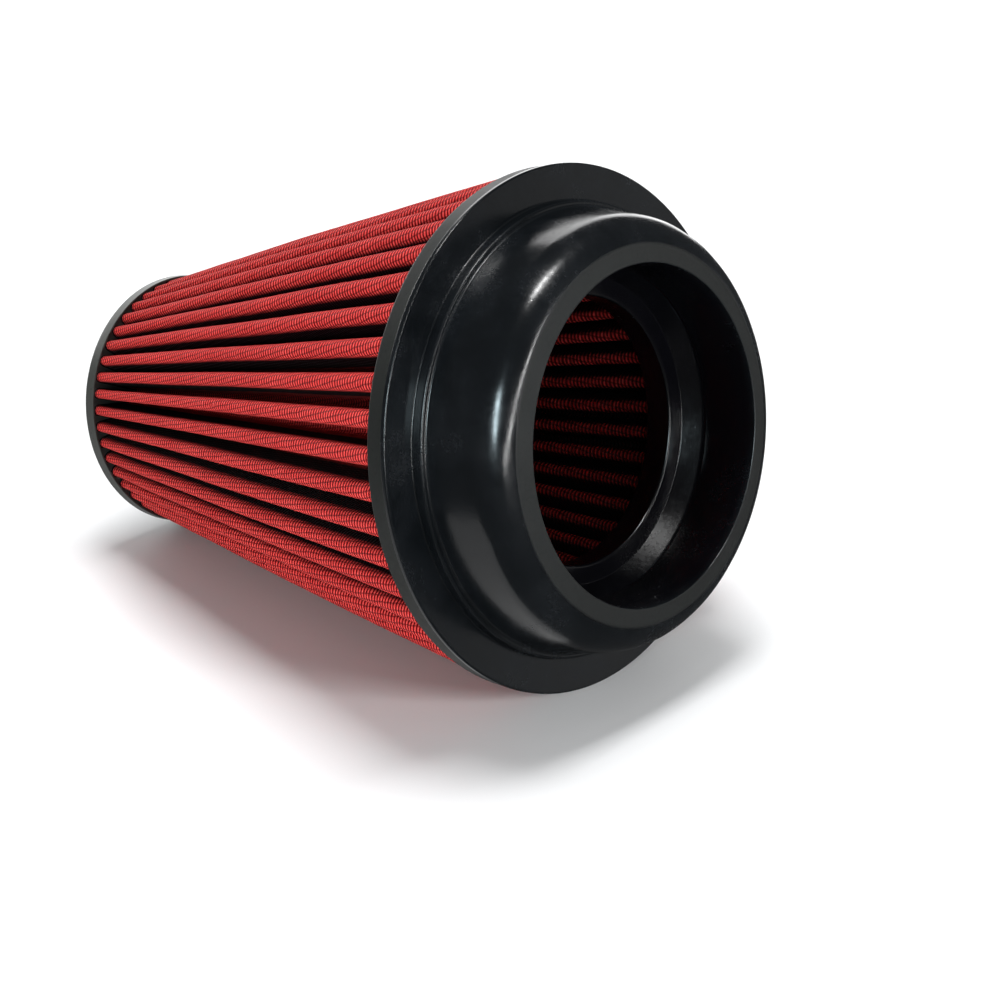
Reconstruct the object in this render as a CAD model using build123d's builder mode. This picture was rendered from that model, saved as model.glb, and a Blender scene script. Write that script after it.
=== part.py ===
"""A conical performance air filter for a car engine.

The filter stands on its closed end cap. The z axis is the filter's own axis and z = 0 is the face
it stands on. A cone of pleated gauze, folded together with its wire screens, is potted at the
bottom in a moulded end cap and at the top in a moulded collar. The collar has the flange, the
neck that the intake duct goes into, and the ring that stops the duct. Sizes are in millimetres.
"""

import os
from math import radians

from build123d import *

os.makedirs("parts", exist_ok=True)

# The body, from the face that the filter stands on to the flat front of the flange
body_height = 185.6

# Flange, with the plain band behind its edge
flange_radius = 81.0
flange_lip = 1.6
flange_edge_break = 0.5
band_step = 0.7
band_height = 7.9

# Neck, measured from the front of the flange. Its end face slopes: it is highest at the mouth of the
# bore, which flares a little to lead the duct in, and lowest at the rounded outer edge.
bore_radius = 50.8
lead_in_flare = 0.7
lead_in_depth = 6.6
neck_height = 30.4
neck_root_radius = 67.9
neck_tip_radius = 65.4
lip_fall = 5.8
lip_round = 3.0

# Low boss that the neck stands on, with a hollow foot where it runs out into the flange
boss_height = 3.7
boss_width = 1.9
foot_reach = 1.2
foot_waist = 0.4

# Duct stop ring at the bottom of the bore, and the throat through it, which opens out underneath
stop_height = 4.6
stop_corner_bevel = 3.8
throat_radius = 41.0
throat_bevel = 1.0
throat_outlet_bevel = 3.6

# End cap
cap_radius = 43.2
cap_bevel = 3.0
cap_rim_height = 7.0
cap_rim_width = 0.7
cap_rim_depth = 0.4

# Pleated laminate: how far its outer folds stay inside the end cap and inside the collar's band, the
# share of the pitch that an outer fold takes up, and the angle in degrees between a flank and the
# middle plane of its pleat
pleat_count = 45
pleat_depth = 18.4
laminate_thickness = 1.2
cap_pleat_inset = 1.0
collar_pleat_inset = 1.2
outer_fold_share = 0.6
flank_lean = 0.8
fold_facets = 2

# Potting: how deep the pleats sit in each moulding, and the clearance at their sides
cap_potting = 2.6
collar_potting = 2.6
potting_clearance = 0.04

# Levels that follow from the sizes above
cap_face = cap_rim_height - cap_rim_depth
collar_underside = body_height - band_height
pleat_bottom = cap_face - cap_potting
pleat_top = collar_underside + collar_potting

# Sizes of the laminate that follow from its thickness and from the mouldings that hold it
band_radius = flange_radius - band_step
cap_pleat_outer = cap_radius - cap_pleat_inset
collar_pleat_outer = band_radius - collar_pleat_inset
half_laminate = laminate_thickness / 2


def at_height(z, at_cap, at_collar):
    """A size of the cone at height z, which changes evenly from the end cap to the collar."""
    share = (z - cap_face) / (collar_underside - cap_face)
    return at_cap + (at_collar - at_cap) * share


def half_fold(centre, radius, start, end, is_outside):
    """Points along half of a fold: round facets on its outside, one crease facet on its inside."""
    facets = fold_facets if is_outside else 1
    return [
        centre + Vector(radius, 0).rotate(Axis.Z, start + (end - start) * step / facets)
        for step in range(facets + 1)
    ]


def pleat_outline(z, side):
    """The corners at height z of a pleated surface that lies side mm outside the laminate's middle.

    A pleat is drawn from the tip of its outer fold, down a straight flank that is tangent to both
    folds, to the tip of the next inner fold. It is mirrored and repeated round the cone. Folds and
    flanks face the same way at every height, so each facet between two outlines is flat.
    """
    half_pitch = 180 / pleat_count
    facing = 90 + flank_lean
    outer_reach = at_height(z, cap_pleat_outer, collar_pleat_outer)
    inner_reach = outer_reach - pleat_depth
    outer_fold = outer_fold_share * outer_reach * radians(half_pitch)
    outer_centre = Vector(outer_reach - outer_fold, 0)

    # The inner fold is as wide as the two flanks beside it leave it
    normal = Vector(1, 0).rotate(Axis.Z, facing)
    inward = Vector(1, 0).rotate(Axis.Z, half_pitch)
    slope = inward.dot(normal)
    depth = inner_reach * slope - outer_centre.dot(normal)
    inner_fold = (depth - outer_fold + laminate_thickness) / (1 - slope)
    inner_centre = inward * (inner_reach + inner_fold)

    outer_radius = outer_fold - half_laminate + side
    inner_radius = inner_fold - half_laminate - side
    half_pleat = half_fold(outer_centre, outer_radius, 0, facing, side > 0)
    half_pleat += half_fold(inner_centre, inner_radius, 180 + facing, 180 + half_pitch, side < 0)
    pleat = [Vector(point.X, -point.Y) for point in reversed(half_pleat[1:-1])] + half_pleat
    return [
        point.rotate(Axis.Z, 2 * half_pitch * turn) + Vector(0, 0, z)
        for turn in range(pleat_count)
        for point in pleat
    ]


def pleated_solid(bottom, top, side):
    """A solid between two heights, walled by the surface side mm outside the laminate's middle."""
    low = pleat_outline(bottom, side)
    high = pleat_outline(top, side)
    faces = [Face(Wire.make_polygon(low)), Face(Wire.make_polygon(high))]
    for index in range(len(low)):
        wall = [low[index - 1], low[index], high[index], high[index - 1]]
        faces.append(Face(Wire.make_polygon(wall)))
    return Solid(Shell(faces))


def turned_section(corners):
    """A face in the XZ plane, to be turned round the axis, from (radius, height, fillet) corners."""
    with BuildSketch(Plane.XZ) as section:
        with BuildLine():
            FilletPolyline(
                [(radius, height) for radius, height, rounding in corners],
                radius=[rounding for radius, height, rounding in corners],
                close=True,
            )
        make_face()
    return section.sketch


# The pleated laminate: its outside, less its inside
with BuildPart() as filter_media:
    add(pleated_solid(pleat_bottom, pleat_top, half_laminate))
    add(pleated_solid(pleat_bottom, pleat_top, -half_laminate), mode=Mode.SUBTRACT)

# The collar: one turned profile, with a pleated recess in its underside
neck_top = body_height + neck_height
stop_face = body_height + stop_height
boss_top = body_height + boss_height
boss_radius = neck_root_radius + boss_width
lip_bottom = body_height - flange_lip
pocket_side = half_laminate + potting_clearance

with BuildPart() as outlet_collar:
    revolve(
        turned_section(
            [
                (throat_radius + throat_outlet_bevel, collar_underside, 0),
                (throat_radius, collar_underside + throat_outlet_bevel, 0),
                (throat_radius, stop_face - throat_bevel, 0),
                (throat_radius + throat_bevel, stop_face, 0),
                (bore_radius - stop_corner_bevel, stop_face, 0),
                (bore_radius, stop_face + stop_corner_bevel, 0),
                (bore_radius, neck_top - lead_in_depth, 0),
                (bore_radius + lead_in_flare, neck_top, 0),
                (neck_tip_radius, neck_top - lip_fall, lip_round),
                (neck_root_radius, boss_top, 0),
                (boss_radius, boss_top, 0),
                (boss_radius + foot_waist, body_height + foot_waist, 0),
                (boss_radius + foot_reach, body_height, 0),
                (flange_radius - flange_edge_break, body_height, 0),
                (flange_radius, body_height - flange_edge_break, 0),
                (flange_radius, lip_bottom, 0),
                (band_radius, lip_bottom, 0),
                (band_radius, collar_underside, 0),
            ]
        ),
        axis=Axis.Z,
    )
    add(pleated_solid(collar_underside, pleat_top, pocket_side), mode=Mode.SUBTRACT)

# The end cap: a turned cup with a thin rim, and a pleated recess in its face
rim_inner_radius = cap_radius - cap_rim_width

with BuildPart() as end_cap:
    revolve(
        turned_section(
            [
                (0, 0, 0),
                (cap_radius - cap_bevel, 0, 0),
                (cap_radius, cap_bevel, 0),
                (cap_radius, cap_rim_height, 0),
                (rim_inner_radius, cap_rim_height, 0),
                (rim_inner_radius, cap_face, 0),
                (0, cap_face, 0),
            ]
        ),
        axis=Axis.Z,
    )
    add(pleated_solid(pleat_bottom, cap_face, pocket_side), mode=Mode.SUBTRACT)

for piece, name in (
    (outlet_collar, "outlet_collar"),
    (filter_media, "filter_media"),
    (end_cap, "end_cap"),
):
    piece.part.label = name
    export_step(piece.part, f"parts/{name}.step")
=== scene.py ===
"""The looks of a conical air filter: urethane mouldings round a cone of pleated, screened gauze."""

from math import cos, pi, radians, sin, tan

import bmesh
import bpy
from mathutils import Matrix, Vector, noise


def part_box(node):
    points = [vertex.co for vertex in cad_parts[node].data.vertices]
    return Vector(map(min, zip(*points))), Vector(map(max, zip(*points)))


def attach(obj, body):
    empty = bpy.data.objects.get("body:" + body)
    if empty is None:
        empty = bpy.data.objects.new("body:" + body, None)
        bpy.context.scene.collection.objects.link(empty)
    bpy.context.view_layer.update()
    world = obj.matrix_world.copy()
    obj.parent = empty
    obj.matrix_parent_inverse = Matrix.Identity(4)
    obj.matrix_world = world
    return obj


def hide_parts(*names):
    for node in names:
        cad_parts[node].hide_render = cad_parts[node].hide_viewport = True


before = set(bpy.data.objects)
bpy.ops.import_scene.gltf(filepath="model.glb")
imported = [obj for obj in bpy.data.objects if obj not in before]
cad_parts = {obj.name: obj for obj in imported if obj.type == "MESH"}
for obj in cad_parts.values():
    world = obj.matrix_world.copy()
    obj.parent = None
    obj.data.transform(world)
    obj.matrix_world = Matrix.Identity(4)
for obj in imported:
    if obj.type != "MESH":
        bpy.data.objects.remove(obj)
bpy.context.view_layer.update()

MM = 0.001

# Levels and radii that the frame gives
collar_low, collar_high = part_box("outlet_collar")
cap_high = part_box("end_cap")[1]
media_low, media_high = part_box("filter_media")
FLANGE_RADIUS = collar_high.x
COLLAR_UNDERSIDE = collar_low.z
NECK_TOP = collar_high.z
CAP_RADIUS = cap_high.x
CAP_RIM_TOP = cap_high.z
PLEAT_BOTTOM = media_low.z
PLEAT_TOP = media_high.z

# Collar
BAND_HEIGHT = 7.9 * MM
BAND_STEP = 0.7 * MM
FLANGE_LIP = 1.6 * MM
FLANGE_EDGE_ROUND = 0.6 * MM
BAND_EDGE_ROUND = 0.9 * MM
NECK_ROOT_RADIUS = 67.9 * MM
NECK_TIP_RADIUS = 65.05 * MM
LIP_FALL = 3.0 * MM
LIP_ROUND = 11.0 * MM
MOUTH_ROUND = 0.5 * MM
LEAD_IN_FLARE = 0.7 * MM
LEAD_IN_DEPTH = 6.6 * MM
LEAD_IN_ROUND = 6.0 * MM
BOSS_HEIGHT = 3.7 * MM
BOSS_WIDTH = 1.9 * MM
BOSS_EDGE_ROUND = 0.8 * MM
NECK_ROOT_ROUND = 0.9 * MM
FOOT_ROUND = 0.5 * MM
BORE_RADIUS = 50.8 * MM
STOP_HEIGHT = 4.6 * MM
STOP_CORNER_BEVEL = 3.8 * MM
STOP_CORNER_RISE = 6.0 * MM
STOP_CORNER_ROUND = 3.0 * MM
STOP_EDGE_ROUND = 0.4 * MM
THROAT_RADIUS = 41.0 * MM
THROAT_ROUND = 0.9 * MM
THROAT_OUTLET_BEVEL = 3.6 * MM
THROAT_OUTLET_ROUND = 0.5 * MM
FLANGE_LIP_ROUND = 0.3 * MM
FLANGE_FACE = COLLAR_UNDERSIDE + BAND_HEIGHT

# End cap
CAP_BEVEL = 3.0 * MM
CAP_BEVEL_ROUND = 1.2 * MM
CAP_RIM_WIDTH = 0.7 * MM
CAP_RIM_DEPTH = 0.4 * MM
CAP_RIM_ROUND = 0.15 * MM
CAP_FACE = CAP_RIM_TOP - CAP_RIM_DEPTH
CAP_CENTRE = 0.5 * MM

# Pleated laminate
PLEAT_COUNT = 45
LAMINATE = 0.9 * MM
PLEAT_DEPTH = 18.4 * MM
CAP_PLEAT_OUTER = 42.2 * MM
COLLAR_PLEAT_OUTER = 79.5 * MM
PLEAT_SWELL = 0.6 * MM
OUTER_FOLD_SHARE = 0.52
FLANK_LEAN = radians(0.8)
OUTER_FOLD_FACES = 6
INNER_FOLD_FACES = 4
FLANK_FACES = 3
PLEAT_ROWS = 28
PLEAT_STRAY = 0.22 * MM
POTTING_CREEP = 0.9 * MM

# How far from the ends the pleats stray freely, how finely they do, and the seed of their stray
STRAY_HOLD = 12 * MM
SLOW_STRAY = 55
QUICK_STRAY = 140
QUICK_STRAY_SHARE = 0.35
STRAY_SEED = 7

# Cloth in half an outer fold, in a flank and in half an inner fold, as the weave counts it. The
# mark is added to the weave's heights on the inner skin, to tell it from the outer one.
FOLD_CLOTH = 4.0 * MM
FLANK_CLOTH = 13.0 * MM
CREASE_CLOTH = 2.8 * MM
PLEAT_CLOTH = 2 * (FOLD_CLOTH + FLANK_CLOTH + CREASE_CLOTH)
INNER_SKIN_MARK = 10.0

SIDES = 288
ROUND_STEP = radians(11)


def start_piece():
    """Leaves every object unselected, so that an operator acts on the new piece alone."""
    if bpy.context.object and bpy.context.object.mode != "OBJECT":
        bpy.ops.object.mode_set(mode="OBJECT")
    bpy.ops.object.select_all(action="DESELECT")


def smooth_shade(piece, angle=radians(35)):
    """Smooth shading that keeps the flat faces flat beside their rounded edges."""
    start_piece()
    piece.select_set(True)
    bpy.context.view_layer.objects.active = piece
    bpy.ops.object.shade_smooth_by_angle(angle=angle)
    weighted = piece.modifiers.new("face_weight", "WEIGHTED_NORMAL")
    weighted.keep_sharp = True
    bpy.ops.object.modifier_apply(modifier=weighted.name)


def turn_at(before, here, after):
    """The angle by which a turned profile turns at a corner."""
    first = Vector((here[0] - before[0], here[1] - before[1]))
    second = Vector((after[0] - here[0], after[1] - here[1]))
    return first.angle(second)


def round_ring(radius, height, offset, segments):
    """Bevels the ring of edges that lies at this radius and height."""
    mesh = bmesh.from_edit_mesh(bpy.context.object.data)
    bpy.ops.mesh.select_all(action="DESELECT")
    bpy.ops.mesh.select_mode(type="EDGE")
    tolerance = 0.01 * MM
    for edge in mesh.edges:
        edge.select = all(
            abs(v.co.z - height) < tolerance and abs(v.co.xy.length - radius) < tolerance
            for v in edge.verts
        )
    bmesh.update_edit_mesh(bpy.context.object.data)
    bpy.ops.mesh.bevel(offset=offset, offset_type="OFFSET", segments=segments, profile=0.5)


def turned_piece(name, corners, is_ring):
    """A moulding turned about the z axis: one circle, extruded and resized to each corner."""
    start_piece()
    radius, height, rounding = corners[0]
    bpy.ops.mesh.primitive_circle_add(vertices=SIDES, radius=radius, location=(0, 0, height))
    piece = bpy.context.object
    piece.name = name
    bpy.ops.object.transform_apply()
    bpy.ops.object.mode_set(mode="EDIT")
    if not is_ring:
        bpy.ops.mesh.edge_face_add()
    route = corners[1:] + corners[:1] if is_ring else corners[1:]
    for next_radius, next_height, rounding in route:
        bpy.ops.mesh.extrude_edges_move(
            TRANSFORM_OT_translate={"value": (0, 0, next_height - height)}
        )
        share = next_radius / radius
        bpy.ops.transform.resize(value=(share, share, 1), center_override=(0, 0, 0))
        radius, height = next_radius, next_height
    if not is_ring:
        bpy.ops.mesh.edge_face_add()
    bpy.ops.mesh.select_all(action="SELECT")
    bpy.ops.mesh.remove_doubles(threshold=0.001 * MM)
    for index, (radius, height, rounding) in enumerate(corners):
        if rounding:
            turn = turn_at(corners[index - 1], corners[index], corners[(index + 1) % len(corners)])
            segments = max(2, round(turn / ROUND_STEP))
            round_ring(radius, height, rounding * tan(turn / 2), segments)
    bpy.ops.mesh.select_all(action="SELECT")
    bpy.ops.mesh.normals_make_consistent(inside=False)
    bpy.ops.object.mode_set(mode="OBJECT")
    smooth_shade(piece)
    return piece


def make_collar():
    """The outlet collar: band, flange, boss, neck with its sloped lip, bore, stop ring, throat."""
    band_radius = FLANGE_RADIUS - BAND_STEP
    lip_bottom = FLANGE_FACE - FLANGE_LIP
    boss_top = FLANGE_FACE + BOSS_HEIGHT
    boss_radius = NECK_ROOT_RADIUS + BOSS_WIDTH
    stop_face = FLANGE_FACE + STOP_HEIGHT
    return turned_piece(
        "outlet_collar_moulding",
        [
            (THROAT_RADIUS + THROAT_OUTLET_BEVEL, COLLAR_UNDERSIDE, THROAT_OUTLET_ROUND),
            (band_radius, COLLAR_UNDERSIDE, BAND_EDGE_ROUND),
            (band_radius, lip_bottom, FLANGE_LIP_ROUND),
            (FLANGE_RADIUS, lip_bottom, FLANGE_LIP_ROUND),
            (FLANGE_RADIUS, FLANGE_FACE, FLANGE_EDGE_ROUND),
            (boss_radius, FLANGE_FACE, FOOT_ROUND),
            (boss_radius, boss_top, BOSS_EDGE_ROUND),
            (NECK_ROOT_RADIUS, boss_top, NECK_ROOT_ROUND),
            (NECK_TIP_RADIUS, NECK_TOP - LIP_FALL, LIP_ROUND),
            (BORE_RADIUS + LEAD_IN_FLARE, NECK_TOP, MOUTH_ROUND),
            (BORE_RADIUS, NECK_TOP - LEAD_IN_DEPTH, LEAD_IN_ROUND),
            (BORE_RADIUS, stop_face + STOP_CORNER_RISE, STOP_CORNER_ROUND),
            (BORE_RADIUS - STOP_CORNER_BEVEL, stop_face, STOP_EDGE_ROUND),
            (THROAT_RADIUS, stop_face, THROAT_ROUND),
            (THROAT_RADIUS, COLLAR_UNDERSIDE + THROAT_OUTLET_BEVEL, THROAT_OUTLET_ROUND),
        ],
        is_ring=True,
    )


def make_end_cap():
    """The end cap: a shallow cup with a thin rim round the potted ends of the pleats."""
    rim_inner = CAP_RADIUS - CAP_RIM_WIDTH
    return turned_piece(
        "end_cap_moulding",
        [
            (CAP_CENTRE, 0, 0),
            (CAP_RADIUS - CAP_BEVEL, 0, CAP_BEVEL_ROUND),
            (CAP_RADIUS, CAP_BEVEL, CAP_BEVEL_ROUND),
            (CAP_RADIUS, CAP_RIM_TOP, CAP_RIM_ROUND),
            (rim_inner, CAP_RIM_TOP, CAP_RIM_ROUND),
            (rim_inner, CAP_FACE, CAP_RIM_ROUND),
            (CAP_CENTRE, CAP_FACE, 0),
        ],
        is_ring=False,
    )


def outer_reach_at(z):
    """How far the outer folds reach at height z: a cone that swells a little between its ends."""
    share = (z - CAP_FACE) / (COLLAR_UNDERSIDE - CAP_FACE)
    swell = PLEAT_SWELL * sin(pi * min(1, max(0, share)))
    return CAP_PLEAT_OUTER + (COLLAR_PLEAT_OUTER - CAP_PLEAT_OUTER) * share + swell


def polar(radius, angle):
    return Vector((radius * cos(angle), radius * sin(angle), 0))


def pleat_profile(z, side):
    """Half a pleat at height z, from the tip of its outer fold to the tip of the next inner fold.

    The surface lies side outside the laminate's middle. Each point comes with the length of cloth
    up to it, so that the weave follows the folds.
    """
    half_pitch = pi / PLEAT_COUNT
    facing = pi / 2 + FLANK_LEAN
    outer_reach = outer_reach_at(z)
    inner_reach = outer_reach - PLEAT_DEPTH
    outer_fold = OUTER_FOLD_SHARE * outer_reach * half_pitch
    outer_centre = Vector((outer_reach - outer_fold, 0, 0))
    normal = polar(1, facing)
    inward = polar(1, half_pitch)
    slope = inward.dot(normal)
    depth = inner_reach * slope - outer_centre.dot(normal)
    inner_fold = (depth - outer_fold + LAMINATE) / (1 - slope)
    inner_centre = inward * (inner_reach + inner_fold)

    middle_outer = outer_fold - LAMINATE / 2
    middle_inner = inner_fold - LAMINATE / 2
    flank_start = outer_centre + polar(middle_outer + side, facing)
    flank_end = inner_centre + polar(middle_inner - side, pi + facing)
    points = []
    for step in range(OUTER_FOLD_FACES):
        share = step / OUTER_FOLD_FACES
        fold = outer_centre + polar(middle_outer + side, facing * share)
        points.append((fold, FOLD_CLOTH * share))
    for step in range(FLANK_FACES):
        share = step / FLANK_FACES
        points.append((flank_start.lerp(flank_end, share), FOLD_CLOTH + FLANK_CLOTH * share))
    turn = half_pitch - facing
    for step in range(INNER_FOLD_FACES + 1):
        share = step / INNER_FOLD_FACES
        crest = inner_centre + polar(middle_inner - side, pi + facing + turn * share)
        points.append((crest, FOLD_CLOTH + FLANK_CLOTH + CREASE_CLOTH * share))
    for point, length in points:
        point.z = z
    return points


def whole_pleat(z, side):
    """Both halves of a pleat at height z, from inner fold to inner fold."""
    half = pleat_profile(z, side)
    mirrored = [(Vector((p.x, -p.y, p.z)), -length) for p, length in reversed(half[1:])]
    return mirrored + half


def strayed(point):
    """Moves a point of the laminate by the small unevenness of hand-set pleats."""
    slow = Vector((point.x, point.y, point.z * 0.35)) * SLOW_STRAY
    quick = Vector((point.x, point.y, point.z * 0.8)) * QUICK_STRAY
    hold = min(1, (point.z - CAP_FACE) / STRAY_HOLD, (COLLAR_UNDERSIDE - point.z) / STRAY_HOLD)
    stray = noise.noise_vector(slow) + noise.noise_vector(quick) * QUICK_STRAY_SHARE
    return point + stray * PLEAT_STRAY * max(0, hold)


def pleated_shell(name, route):
    """A closed shell that follows the pleats all round the cone.

    The route lists heights and distances from the laminate's middle, up one skin and down the
    other, and comes back to where it started. A grid is shaped into one pleat and then copied.
    The weave's second coordinate is the height, with a mark added on the inner skin.
    """
    route = route + route[:1]
    rows = len(route) - 1
    across = 2 * (OUTER_FOLD_FACES + FLANK_FACES + INNER_FOLD_FACES)
    start_piece()
    bpy.ops.mesh.primitive_grid_add(
        x_subdivisions=across, y_subdivisions=rows, size=1, calc_uvs=True
    )
    pleat = bpy.context.object
    levels = [whole_pleat(z, side) for z, side in route]
    places = {}
    for vertex in pleat.data.vertices:
        column = round((vertex.co.x + 0.5) * across)
        row = round((vertex.co.y + 0.5) * rows)
        point, length = levels[row][column]
        mark = INNER_SKIN_MARK if route[row][1] < 0 else 0
        places[vertex.index] = (length, point.z + mark)
        vertex.co = point
    slots = pleat.data.uv_layers.active.data
    for loop in pleat.data.loops:
        slots[loop.index].uv = places[loop.vertex_index]
    start_piece()
    for index in range(PLEAT_COUNT):
        copy = pleat.copy()
        copy.data = pleat.data.copy()
        copy.data.transform(Matrix.Rotation(2 * pi * index / PLEAT_COUNT, 4, "Z"))
        for slot in copy.data.uv_layers.active.data:
            slot.uv[0] += index * PLEAT_CLOTH
        bpy.context.scene.collection.objects.link(copy)
        copy.select_set(True)
    bpy.context.view_layer.objects.active = copy
    bpy.ops.object.join()
    shell = bpy.context.object
    shell.name = name
    bpy.data.objects.remove(pleat)
    bpy.ops.object.mode_set(mode="EDIT")
    bpy.ops.mesh.select_all(action="SELECT")
    bpy.ops.mesh.remove_doubles(threshold=0.002 * MM)
    bpy.ops.mesh.normals_make_consistent(inside=False)
    bpy.ops.object.mode_set(mode="OBJECT")
    for vertex in shell.data.vertices:
        vertex.co = strayed(vertex.co.copy())
    bpy.ops.object.shade_smooth()
    return shell


def make_laminate():
    """The pleated gauze with its screens, closed at both ends, where the potting hides it."""
    rise = (PLEAT_TOP - PLEAT_BOTTOM) / PLEAT_ROWS
    heights = [PLEAT_BOTTOM + rise * row for row in range(PLEAT_ROWS + 1)]
    outside = [(z, LAMINATE / 2) for z in heights]
    inside = [(z, -LAMINATE / 2) for z in reversed(heights)]
    return pleated_shell("pleated_media", outside + inside)


def make_potting_bead(name, level, rise, skin):
    """The bead of urethane that creeps a little way up one skin of the pleats, at one end.

    Its section lists how far it climbs and how far it stands off the skin, as shares.
    """
    section = ((-0.1, -0.06), (-0.1, 0.55), (0.0, 0.42), (0.3, 0.16), (0.62, 0.03), (1.0, -0.06))
    route = [
        (level + rise * climb, skin * (LAMINATE / 2 + stand_off * POTTING_CREEP))
        for climb, stand_off in section
    ]
    return pleated_shell(name, route)


class Nodes:
    """Short calls for the nodes of one material or node group."""

    def __init__(self, tree):
        self.tree = tree

    def add(self, kind, **settings):
        node = self.tree.nodes.new(kind)
        for key, value in settings.items():
            setattr(node, key, value)
        return node

    def join(self, source, target):
        self.tree.links.new(source, target)

    def feed(self, socket, value):
        """Links a socket, or sets its value."""
        if isinstance(value, bpy.types.NodeSocket):
            self.join(value, socket)
        else:
            socket.default_value = value

    def maths(self, operation, first, second=0.0, clamp=False):
        node = self.add("ShaderNodeMath", operation=operation, use_clamp=clamp)
        self.feed(node.inputs[0], first)
        self.feed(node.inputs[1], second)
        return node.outputs[0]

    def noise(self, vector, scale, detail=3.0, roughness=0.5):
        node = self.add("ShaderNodeTexNoise")
        self.join(vector, node.inputs["Vector"])
        node.inputs["Scale"].default_value = scale
        node.inputs["Detail"].default_value = detail
        node.inputs["Roughness"].default_value = roughness
        return node.outputs["Fac"]

    def ramp(self, value, low, high, start=0.0, end=1.0):
        """Maps low to high onto start to end, held at both ends."""
        node = self.add("ShaderNodeMapRange", clamp=True)
        self.feed(node.inputs["Value"], value)
        node.inputs["From Min"].default_value = low
        node.inputs["From Max"].default_value = high
        node.inputs["To Min"].default_value = start
        node.inputs["To Max"].default_value = end
        return node.outputs["Result"]

    def blend(self, share, first, second):
        node = self.add("ShaderNodeMix", data_type="RGBA")
        self.feed(node.inputs["Factor"], share)
        self.feed(node.inputs["A"], first)
        self.feed(node.inputs["B"], second)
        return node.outputs["Result"]


def new_material(name):
    """An empty material with its Principled shader and output."""
    material = bpy.data.materials.new(name)
    material.use_nodes = True
    tree = material.node_tree
    return material, Nodes(tree), tree.nodes["Principled BSDF"]


def new_group(name, inputs, outputs):
    """A shader node group with named sockets."""
    group = bpy.data.node_groups.new(name, "ShaderNodeTree")
    for label, kind, value in inputs:
        socket = group.interface.new_socket(label, in_out="INPUT", socket_type=kind)
        if value is not None:
            socket.default_value = value
    for label, kind in outputs:
        group.interface.new_socket(label, in_out="OUTPUT", socket_type=kind)
    nodes = Nodes(group)
    source = nodes.add("NodeGroupInput")
    target = nodes.add("NodeGroupOutput")
    return group, nodes, source.outputs, target.inputs


# Linear colours
PIT_TINT = (0.003, 0.003, 0.003, 1)
# Painted shade inside the bore: a darker black than the rest of the collar
BORE_SHADE_TINT = (0.002, 0.002, 0.003, 1)
BAND_TINT = (0.009, 0.0105, 0.0095, 1)
LIP_TINT = (0.010, 0.011, 0.0105, 1)
# Partly painted light: the cloth's red, lighter on the rib crests as painted highlight and darker
# in the rib troughs as painted shade
LIT_CREST_TINTS = ((0.93, 0.085, 0.075, 1), (0.84, 0.06, 0.056, 1))
SHADED_TROUGH_TINTS = ((0.17, 0.001, 0.004, 1), (0.12, 0.001, 0.003, 1))
# Painted sheen: a pale pink laid over the rib crests
CREST_SHEEN_TINT = (0.95, 0.26, 0.23, 1)
WIRE_TINT = (0.07, 0.002, 0.005, 1)
# Painted shade in the pleats: the near-black of the flanks and of the inner skin
PLEAT_SHADE_TINT = (0.006, 0.001, 0.002, 1)
FLOOR_TINTS = ((0.86, 0.87, 0.88, 1), (0.89, 0.90, 0.91, 1))

# Where the collar's satin finish ends on the lip and starts on the band, and how much rougher it is
SATIN_LIP_END = 57.8 * MM
SATIN_LIP_FADE = 0.9 * MM
SATIN_BAND_START = 70 * MM
SATIN_BAND_FADE = 2 * MM
SATIN_LIP_ROUGH = 0.5
SATIN_BAND_ROUGH = 0.36

# How much of a flank, beside the inner fold, the painted shade on the flanks mostly spares, so that
# the red of the cloth shows there from outside
LIT_FLANK = 4.5 * MM
LIT_FLANK_FADE = 1.5 * MM


def moulded_skin_group():
    """The skin of a urethane moulding: fine grain, pin holes, smudges and a handled sheen."""
    group, nodes, given, result = new_group(
        "moulded_skin",
        [
            ("Place", "NodeSocketVector", None),
            ("Grain", "NodeSocketFloat", 0.4),
            ("Smudge", "NodeSocketFloat", 0.5),
        ],
        [
            ("Smudge", "NodeSocketFloat"),
            ("Specks", "NodeSocketFloat"),
            ("Height", "NodeSocketFloat"),
        ],
    )
    place = given["Place"]
    broad = nodes.noise(place, scale=38, detail=4, roughness=0.6)
    patch = nodes.ramp(broad, 0.42, 0.68)
    fine = nodes.noise(place, scale=900, detail=2, roughness=0.6)
    smudge = nodes.maths("MULTIPLY", nodes.maths("MULTIPLY", patch, fine), given["Smudge"])
    holes = nodes.add("ShaderNodeTexVoronoi", feature="F1")
    nodes.join(place, holes.inputs["Vector"])
    holes.inputs["Scale"].default_value = 420
    specks = nodes.ramp(holes.outputs["Distance"], 0.10, 0.17, 1, 0)
    waves = nodes.noise(place, scale=120, detail=2)
    grain = nodes.maths("MULTIPLY", fine, given["Grain"])
    height = nodes.maths("ADD", nodes.maths("MULTIPLY", waves, 0.8), grain)
    height = nodes.maths("SUBTRACT", height, nodes.maths("MULTIPLY", specks, 0.25))
    nodes.join(smudge, result["Smudge"])
    nodes.join(specks, result["Specks"])
    nodes.join(height, result["Height"])
    return group


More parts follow.
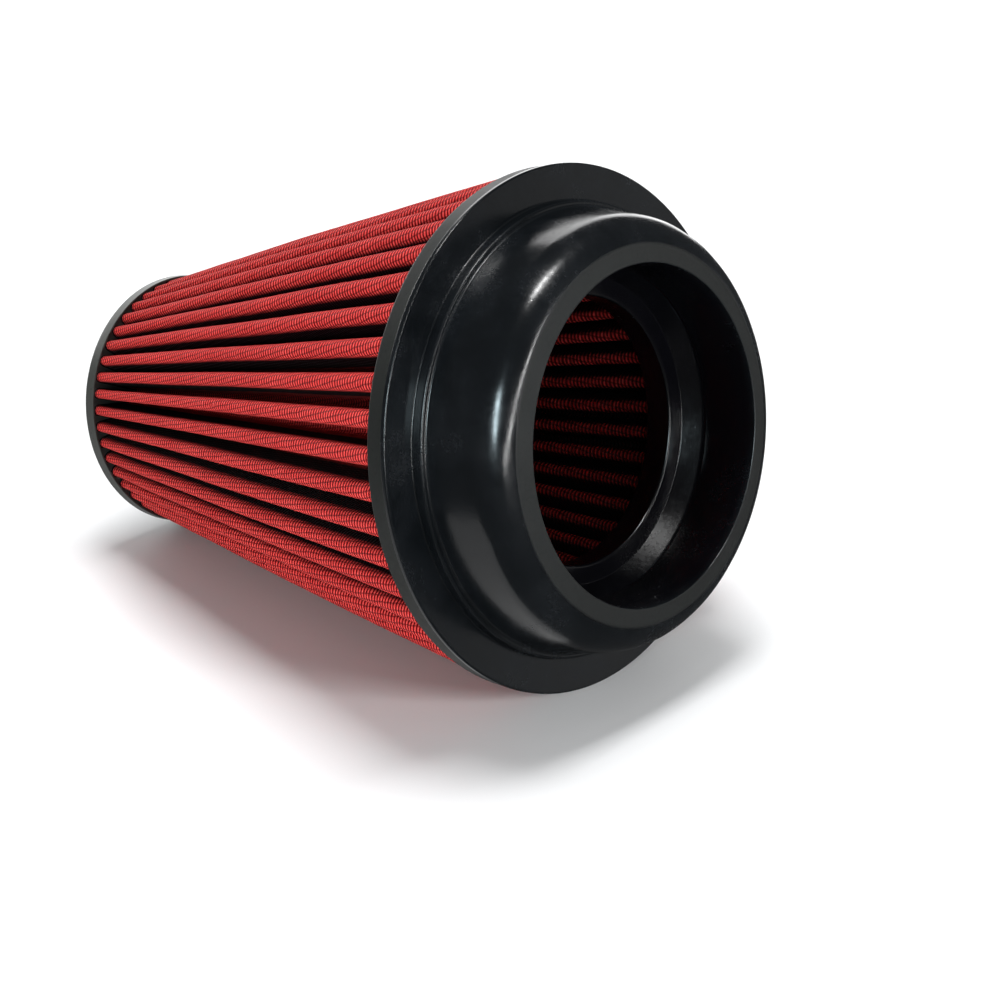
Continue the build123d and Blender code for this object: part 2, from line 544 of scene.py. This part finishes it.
def urethane(name, group, tint, dust_tint, rough, grain, smudge, bump, by_place=None):
    """Black urethane. by_place may change its colour and roughness from the Object coordinates."""
    material, nodes, shader = new_material(name)
    place = nodes.add("ShaderNodeTexCoord").outputs["Object"]
    skin = nodes.add("ShaderNodeGroup", node_tree=group)
    nodes.join(place, skin.inputs["Place"])
    skin.inputs["Grain"].default_value = grain
    skin.inputs["Smudge"].default_value = smudge
    colour = nodes.blend(skin.outputs["Smudge"], tint, dust_tint)
    pits = nodes.maths("MULTIPLY", skin.outputs["Specks"], 0.6)
    roughness = nodes.ramp(skin.outputs["Smudge"], 0, 0.5, rough, rough + 0.25)
    if by_place:
        colour, roughness = by_place(nodes, place, colour, roughness)
    colour = nodes.blend(pits, colour, PIT_TINT)
    nodes.join(colour, shader.inputs["Base Color"])
    nodes.join(roughness, shader.inputs["Roughness"])
    relief = nodes.add("ShaderNodeBump")
    relief.inputs["Strength"].default_value = 1.0
    relief.inputs["Distance"].default_value = bump
    nodes.join(skin.outputs["Height"], relief.inputs["Height"])
    nodes.join(relief.outputs["Normal"], shader.inputs["Normal"])
    shader.inputs["Specular IOR Level"].default_value = 0.5
    return material


def collar_finish(nodes, place, colour, roughness):
    """Satin on the lip's face and the band, a darker black without smudges in the bore as painted
    shade, and gloss on the rest.
    """
    parts = nodes.add("ShaderNodeSeparateXYZ")
    nodes.join(place, parts.inputs[0])
    radius_squared = nodes.maths(
        "ADD",
        nodes.maths("MULTIPLY", parts.outputs["X"], parts.outputs["X"]),
        nodes.maths("MULTIPLY", parts.outputs["Y"], parts.outputs["Y"]),
    )
    radius = nodes.maths("SQRT", radius_squared)
    height = parts.outputs["Z"]
    mouth = BORE_RADIUS + LEAD_IN_FLARE
    lip = nodes.maths(
        "MULTIPLY",
        nodes.ramp(radius, mouth, mouth + 0.4 * MM),
        nodes.ramp(radius, SATIN_LIP_END - SATIN_LIP_FADE, SATIN_LIP_END, 1, 0),
    )
    below = FLANGE_FACE - FLANGE_LIP
    band = nodes.ramp(height, below - 0.3 * MM, below, 1, 0)
    outer = nodes.ramp(radius, SATIN_BAND_START, SATIN_BAND_START + SATIN_BAND_FADE)
    band = nodes.maths("MULTIPLY", band, outer)
    # Painted shade: the bore, stop face and throat turn a darker black than the moulding, with no
    # smudges
    bore = nodes.ramp(radius, mouth - 0.3 * MM, mouth, 1, 0)
    colour = nodes.blend(bore, colour, BORE_SHADE_TINT)
    colour = nodes.blend(band, colour, BAND_TINT)
    colour = nodes.blend(lip, colour, LIP_TINT)
    satin = nodes.maths(
        "ADD",
        nodes.maths("MULTIPLY", lip, SATIN_LIP_ROUGH),
        nodes.maths("MULTIPLY", band, SATIN_BAND_ROUGH),
    )
    return colour, nodes.maths("ADD", roughness, satin, clamp=True)


def screen_weave_group():
    """Gauze ribbed by the cross wires of its screen, with slanted lengthwise wires over it."""
    group, nodes, given, result = new_group(
        "screen_weave",
        [
            ("Cloth", "NodeSocketVector", None),
            ("Rib Pitch", "NodeSocketFloat", 1.36 * MM),
            ("Wire Pitch", "NodeSocketFloat", 1.8 * MM),
            ("Slant", "NodeSocketFloat", 0.17),
        ],
        [("Rib", "NodeSocketFloat"), ("Wire", "NodeSocketFloat"), ("Height", "NodeSocketFloat")],
    )
    wobble = nodes.add("ShaderNodeTexNoise")
    nodes.join(given["Cloth"], wobble.inputs["Vector"])
    wobble.inputs["Scale"].default_value = 160
    wobble.inputs["Detail"].default_value = 1
    centred = nodes.add("ShaderNodeVectorMath", operation="SUBTRACT")
    nodes.join(wobble.outputs["Color"], centred.inputs[0])
    centred.inputs[1].default_value = (0.5, 0.5, 0.5)
    small = nodes.add("ShaderNodeVectorMath", operation="SCALE")
    nodes.join(centred.outputs[0], small.inputs[0])
    small.inputs["Scale"].default_value = 0.9 * MM
    moved = nodes.add("ShaderNodeVectorMath", operation="ADD")
    nodes.join(given["Cloth"], moved.inputs[0])
    nodes.join(small.outputs[0], moved.inputs[1])
    parts = nodes.add("ShaderNodeSeparateXYZ")
    nodes.join(moved.outputs[0], parts.inputs[0])
    ribs = nodes.maths("DIVIDE", parts.outputs["Y"], given["Rib Pitch"])
    wave = nodes.maths("SINE", nodes.maths("MULTIPLY", ribs, 2 * pi))
    rib = nodes.ramp(wave, -1, 1)
    leaning = nodes.maths("MULTIPLY", parts.outputs["Y"], given["Slant"])
    aslant = nodes.maths("ADD", parts.outputs["X"], leaning)
    across = nodes.maths("DIVIDE", aslant, given["Wire Pitch"])
    inside = nodes.maths("SUBTRACT", nodes.maths("FRACT", across), 0.5)
    away = nodes.maths("SUBTRACT", 0.5, nodes.maths("ABSOLUTE", inside))
    wire = nodes.ramp(away, 0.03, 0.2, 1, 0)
    bulge = nodes.maths("SINE", nodes.maths("MULTIPLY", away, pi))
    quilt = nodes.maths("ADD", nodes.maths("MULTIPLY", bulge, 0.45), 0.55)
    height = nodes.maths("MULTIPLY", rib, quilt)
    nodes.join(rib, result["Rib"])
    nodes.join(wire, result["Wire"])
    nodes.join(height, result["Height"])
    return group


def painted_pleat_shade(nodes, cloth_place):
    """Painted shade in the pleats: on the outer skin the flanks turn dark, but little beside the
    inner folds, and on the inner skin all but the crests of the inner folds turn dark.
    """
    parts = nodes.add("ShaderNodeSeparateXYZ")
    nodes.join(cloth_place, parts.inputs[0])
    pleats = nodes.maths("ADD", nodes.maths("DIVIDE", parts.outputs["X"], PLEAT_CLOTH), 0.5)
    off_fold = nodes.maths("SUBTRACT", nodes.maths("FRACT", pleats), 0.5)
    from_fold = nodes.maths("MULTIPLY", nodes.maths("ABSOLUTE", off_fold), PLEAT_CLOTH)
    crease = FOLD_CLOTH + FLANK_CLOTH
    outside = nodes.maths(
        "MULTIPLY",
        nodes.ramp(from_fold, FOLD_CLOTH * 0.9, FOLD_CLOTH * 1.3),
        nodes.ramp(from_fold, crease - LIT_FLANK, crease - LIT_FLANK + LIT_FLANK_FADE, 1, 0.25),
    )
    crest_start = crease + 0.35 * CREASE_CLOTH
    crest_end = crease + 0.65 * CREASE_CLOTH
    inside = nodes.ramp(from_fold, crest_start, crest_end, 0.88, 0)
    is_inside = nodes.maths("GREATER_THAN", parts.outputs["Y"], INNER_SKIN_MARK / 2)
    shade = nodes.add("ShaderNodeMix", data_type="FLOAT")
    nodes.join(is_inside, shade.inputs["Factor"])
    nodes.join(outside, shade.inputs["A"])
    nodes.join(inside, shade.inputs["B"])
    return shade.outputs["Result"]


def screened_gauze(group):
    """Oiled red gauze, ribbed and quilted by the wires that are folded in with it, with painted
    highlight and sheen on the rib crests and painted shade in the rib troughs and the pleats.
    """
    material, nodes, shader = new_material("screened_gauze")
    coordinates = nodes.add("ShaderNodeTexCoord")
    weave = nodes.add("ShaderNodeGroup", node_tree=group)
    nodes.join(coordinates.outputs["UV"], weave.inputs["Cloth"])
    place = coordinates.outputs["Object"]
    fibre = nodes.noise(place, scale=1500, detail=2, roughness=0.6)
    oil = nodes.ramp(nodes.noise(place, scale=60), 0.3, 0.7)
    # The cloth's red with painted highlight on the rib crests and painted shade in the troughs
    # between them
    crest = nodes.blend(oil, *LIT_CREST_TINTS)
    shaded_trough = nodes.blend(oil, *SHADED_TROUGH_TINTS)
    cloth = nodes.blend(nodes.ramp(weave.outputs["Rib"], 0.25, 0.8), shaded_trough, crest)
    # Painted sheen on the rib crests, broken up by fibre noise
    crest_sheen = nodes.maths("MULTIPLY", nodes.ramp(fibre, 0.45, 0.8, 0, 0.35), weave.outputs["Rib"])
    cloth = nodes.blend(crest_sheen, cloth, CREST_SHEEN_TINT)
    wired = nodes.maths("MULTIPLY", weave.outputs["Wire"], 0.75)
    cloth = nodes.blend(wired, cloth, WIRE_TINT)
    # Painted shade: the flanks and the inner skin turn near-black, but for the outer folds and the
    # crests of the inner folds
    colour = nodes.blend(painted_pleat_shade(nodes, coordinates.outputs["UV"]), cloth, PLEAT_SHADE_TINT)
    nodes.join(colour, shader.inputs["Base Color"])
    nodes.join(nodes.ramp(weave.outputs["Wire"], 0, 1, 0.75, 0.5), shader.inputs["Roughness"])
    relief = nodes.add("ShaderNodeBump")
    relief.inputs["Strength"].default_value = 1.0
    relief.inputs["Distance"].default_value = 0.4 * MM
    nodes.join(weave.outputs["Height"], relief.inputs["Height"])
    nodes.join(relief.outputs["Normal"], shader.inputs["Normal"])
    shader.inputs["Specular IOR Level"].default_value = 0.04
    shader.inputs["Sheen Weight"].default_value = 0.01
    shader.inputs["Sheen Roughness"].default_value = 0.4
    return material


def give(piece, material):
    """The piece's only material and its place on the frame."""
    piece.data.materials.clear()
    piece.data.materials.append(material)
    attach(piece, "root")


# The camera's place, and its right, up and back directions, in the frame of the part
CAMERA_PLACE = Vector((8.0, -597.1, 704.3)) * MM
CAMERA_RIGHT = Vector((-0.0914, 0.6733, 0.7337))
CAMERA_UP = Vector((-0.9956, -0.0473, -0.0802))
CAMERA_BACK = Vector((-0.0193, -0.7378, 0.6747))
CAMERA_LENS = 93.3


def make_camera():
    data = bpy.data.cameras.new("camera")
    data.lens = CAMERA_LENS
    data.sensor_width = 36
    data.clip_start = 0.01
    data.clip_end = 30
    camera = bpy.data.objects.new("camera", data)
    bpy.context.scene.collection.objects.link(camera)
    turn = Matrix((CAMERA_RIGHT, CAMERA_UP, CAMERA_BACK)).transposed()
    camera.matrix_world = Matrix.Translation(CAMERA_PLACE) @ turn.to_4x4()
    bpy.context.scene.camera = camera


def seen_from_camera(right, up, back):
    """A direction given as the camera sees it, in the frame of the part."""
    return (CAMERA_RIGHT * right + CAMERA_UP * up + CAMERA_BACK * back).normalized()


def make_lamp(name, direction, distance, size, power, is_mirrored, colour=(1, 1, 1)):
    """A lamp aimed at the middle of the filter, which either lights it or is mirrored in it."""
    middle = Vector((0, 0, 0.12))
    data = bpy.data.lights.new(name, "AREA")
    data.shape = "RECTANGLE"
    data.size, data.size_y = size
    data.energy = power
    data.color = colour
    lamp = bpy.data.objects.new(name, data)
    bpy.context.scene.collection.objects.link(lamp)
    lamp.location = middle + direction * distance
    lamp.rotation_euler = (-direction).to_track_quat("-Z", "Y").to_euler()
    lamp.visible_camera = False
    lamp.visible_diffuse = not is_mirrored
    lamp.visible_glossy = is_mirrored


def make_lights():
    """Three softboxes that light the filter, and the panels and strips that its gloss mirrors."""
    for name, direction, distance, size, power in (
        ("overhead_softbox", (0.0, 0.95, 0.24), 2.3, (1.1, 0.85), 54),
        ("front_softbox", (-0.6, -0.22, 0.76), 1.2, (0.3, 0.8), 9),
        ("mouth_softbox", (0.75, 0.02, 0.66), 1.3, (0.3, 0.3), 10),
    ):
        make_lamp(name, seen_from_camera(*direction), distance, size, power, is_mirrored=False)
    for name, direction, distance, size, power in (
        ("overhead_strip", (0.28, 0.8, 0.53), 1.3, (0.3, 0.035), 7),
        ("right_strip", (0.72, -0.05, 0.69), 1.4, (1.3, 0.045), 6.5),
        ("right_panel", (0.95, -0.03, -0.3), 1.4, (0.9, 0.9), 0.7),
        ("back_panel", (-0.25, 0.52, -0.82), 1.6, (1.7, 1.9), 28),
        ("rear_left_strip", (-0.7, 0.45, -0.55), 1.5, (0.9, 0.1), 4),
        ("floor_glow", (-0.6, -0.65, -0.45), 1.2, (1.8, 1.8), 6),
    ):
        make_lamp(name, seen_from_camera(*direction), distance, size, power, is_mirrored=True)
    make_lamp(
        "camera_panel", seen_from_camera(0.04, 0.02, 1.0), 1.4, (0.4, 0.2), 8,
        is_mirrored=True, colour=(0.75, 0.93, 1.0),
    )


# The floor touches the cone along its lower side, as the filter lies in the photograph
FLOOR_NORMAL = Vector((-0.914, -0.349, 0.207)).normalized()


def make_floor():
    """A pale floor under the filter's lower side, open to anyone who looks from below it."""
    angles = (2 * pi * step / 720 for step in range(720))
    edge = (polar(FLANGE_RADIUS, angle) + Vector((0, 0, FLANGE_FACE)) for angle in angles)
    rim = max(edge, key=lambda point: -point.dot(FLOOR_NORMAL))
    start_piece()
    bpy.ops.mesh.primitive_plane_add(size=8)
    floor = bpy.context.object
    floor.name = "floor"
    turn = FLOOR_NORMAL.to_track_quat("Z", "Y").to_matrix().to_4x4()
    floor.matrix_world = Matrix.Translation(rim) @ turn
    bpy.ops.object.transform_apply()
    material, nodes, shader = new_material("pale_floor")
    place = nodes.add("ShaderNodeTexCoord").outputs["Object"]
    mottle = nodes.noise(place, scale=6, detail=2)
    nodes.join(nodes.blend(mottle, *FLOOR_TINTS), shader.inputs["Base Color"])
    shader.inputs["Roughness"].default_value = 0.6
    clear = nodes.add("ShaderNodeBsdfTransparent")
    mix = nodes.add("ShaderNodeMixShader")
    facing = nodes.add("ShaderNodeNewGeometry").outputs["Backfacing"]
    nodes.join(facing, mix.inputs[0])
    nodes.join(shader.outputs[0], mix.inputs[1])
    nodes.join(clear.outputs[0], mix.inputs[2])
    nodes.join(mix.outputs[0], material.node_tree.nodes["Material Output"].inputs["Surface"])
    floor.data.materials.append(material)
    floor.visible_glossy = False


# How bright the room is as fill light, and as it shows in the gloss
ROOM_FILL = 0.22
ROOM_IN_GLOSS = 0.06


def make_world():
    """A white room: plain white behind the filter, softer on its surfaces, dark in its gloss."""
    world = bpy.data.worlds.new("white_room")
    bpy.context.scene.world = world
    world.use_nodes = True
    nodes = Nodes(world.node_tree)
    path = nodes.add("ShaderNodeLightPath")
    seen = nodes.maths("MULTIPLY", path.outputs["Is Camera Ray"], 1 - ROOM_FILL)
    mirrored = nodes.maths("MULTIPLY", path.outputs["Is Glossy Ray"], ROOM_IN_GLOSS - ROOM_FILL)
    strength = nodes.maths("ADD", nodes.maths("ADD", seen, mirrored), ROOM_FILL)
    light = world.node_tree.nodes["Background"]
    light.inputs["Color"].default_value = (1, 1, 1, 1)
    nodes.join(strength, light.inputs["Strength"])
    bpy.context.scene.view_settings.view_transform = "Standard"


make_camera()
make_world()
make_lights()
make_floor()

skin_group = moulded_skin_group()
weave_group = screen_weave_group()
collar_urethane = urethane(
    "collar_urethane", skin_group, (0.0035, 0.0045, 0.0055, 1), (0.016, 0.019, 0.023, 1),
    rough=0.16, grain=0.35, smudge=0.6, bump=0.05 * MM, by_place=collar_finish,
)
cap_urethane = urethane(
    "cap_urethane", skin_group, (0.035, 0.038, 0.034, 1), (0.06, 0.06, 0.055, 1),
    rough=0.42, grain=0.6, smudge=0.5, bump=0.08 * MM,
)
potting_urethane = urethane(
    "potting_urethane", skin_group, (0.006, 0.006, 0.007, 1), (0.02, 0.02, 0.02, 1),
    rough=0.12, grain=0.3, smudge=0.2, bump=0.05 * MM,
)
gauze = screened_gauze(weave_group)

collar = make_collar()
give(collar, collar_urethane)
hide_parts("outlet_collar")

end_cap = make_end_cap()
give(end_cap, cap_urethane)
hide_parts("end_cap")

noise.seed_set(STRAY_SEED)
laminate = make_laminate()
give(laminate, gauze)
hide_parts("filter_media")

for bead_name, level, rise, side_sign in (
    ("cap_potting_outside", CAP_FACE, POTTING_CREEP, 1),
    ("cap_potting_inside", CAP_FACE, POTTING_CREEP, -1),
    ("collar_potting_outside", COLLAR_UNDERSIDE, -POTTING_CREEP, 1),
    ("collar_potting_inside", COLLAR_UNDERSIDE, -POTTING_CREEP, -1),
):
    give(make_potting_bead(bead_name, level, rise, side_sign), potting_urethane)
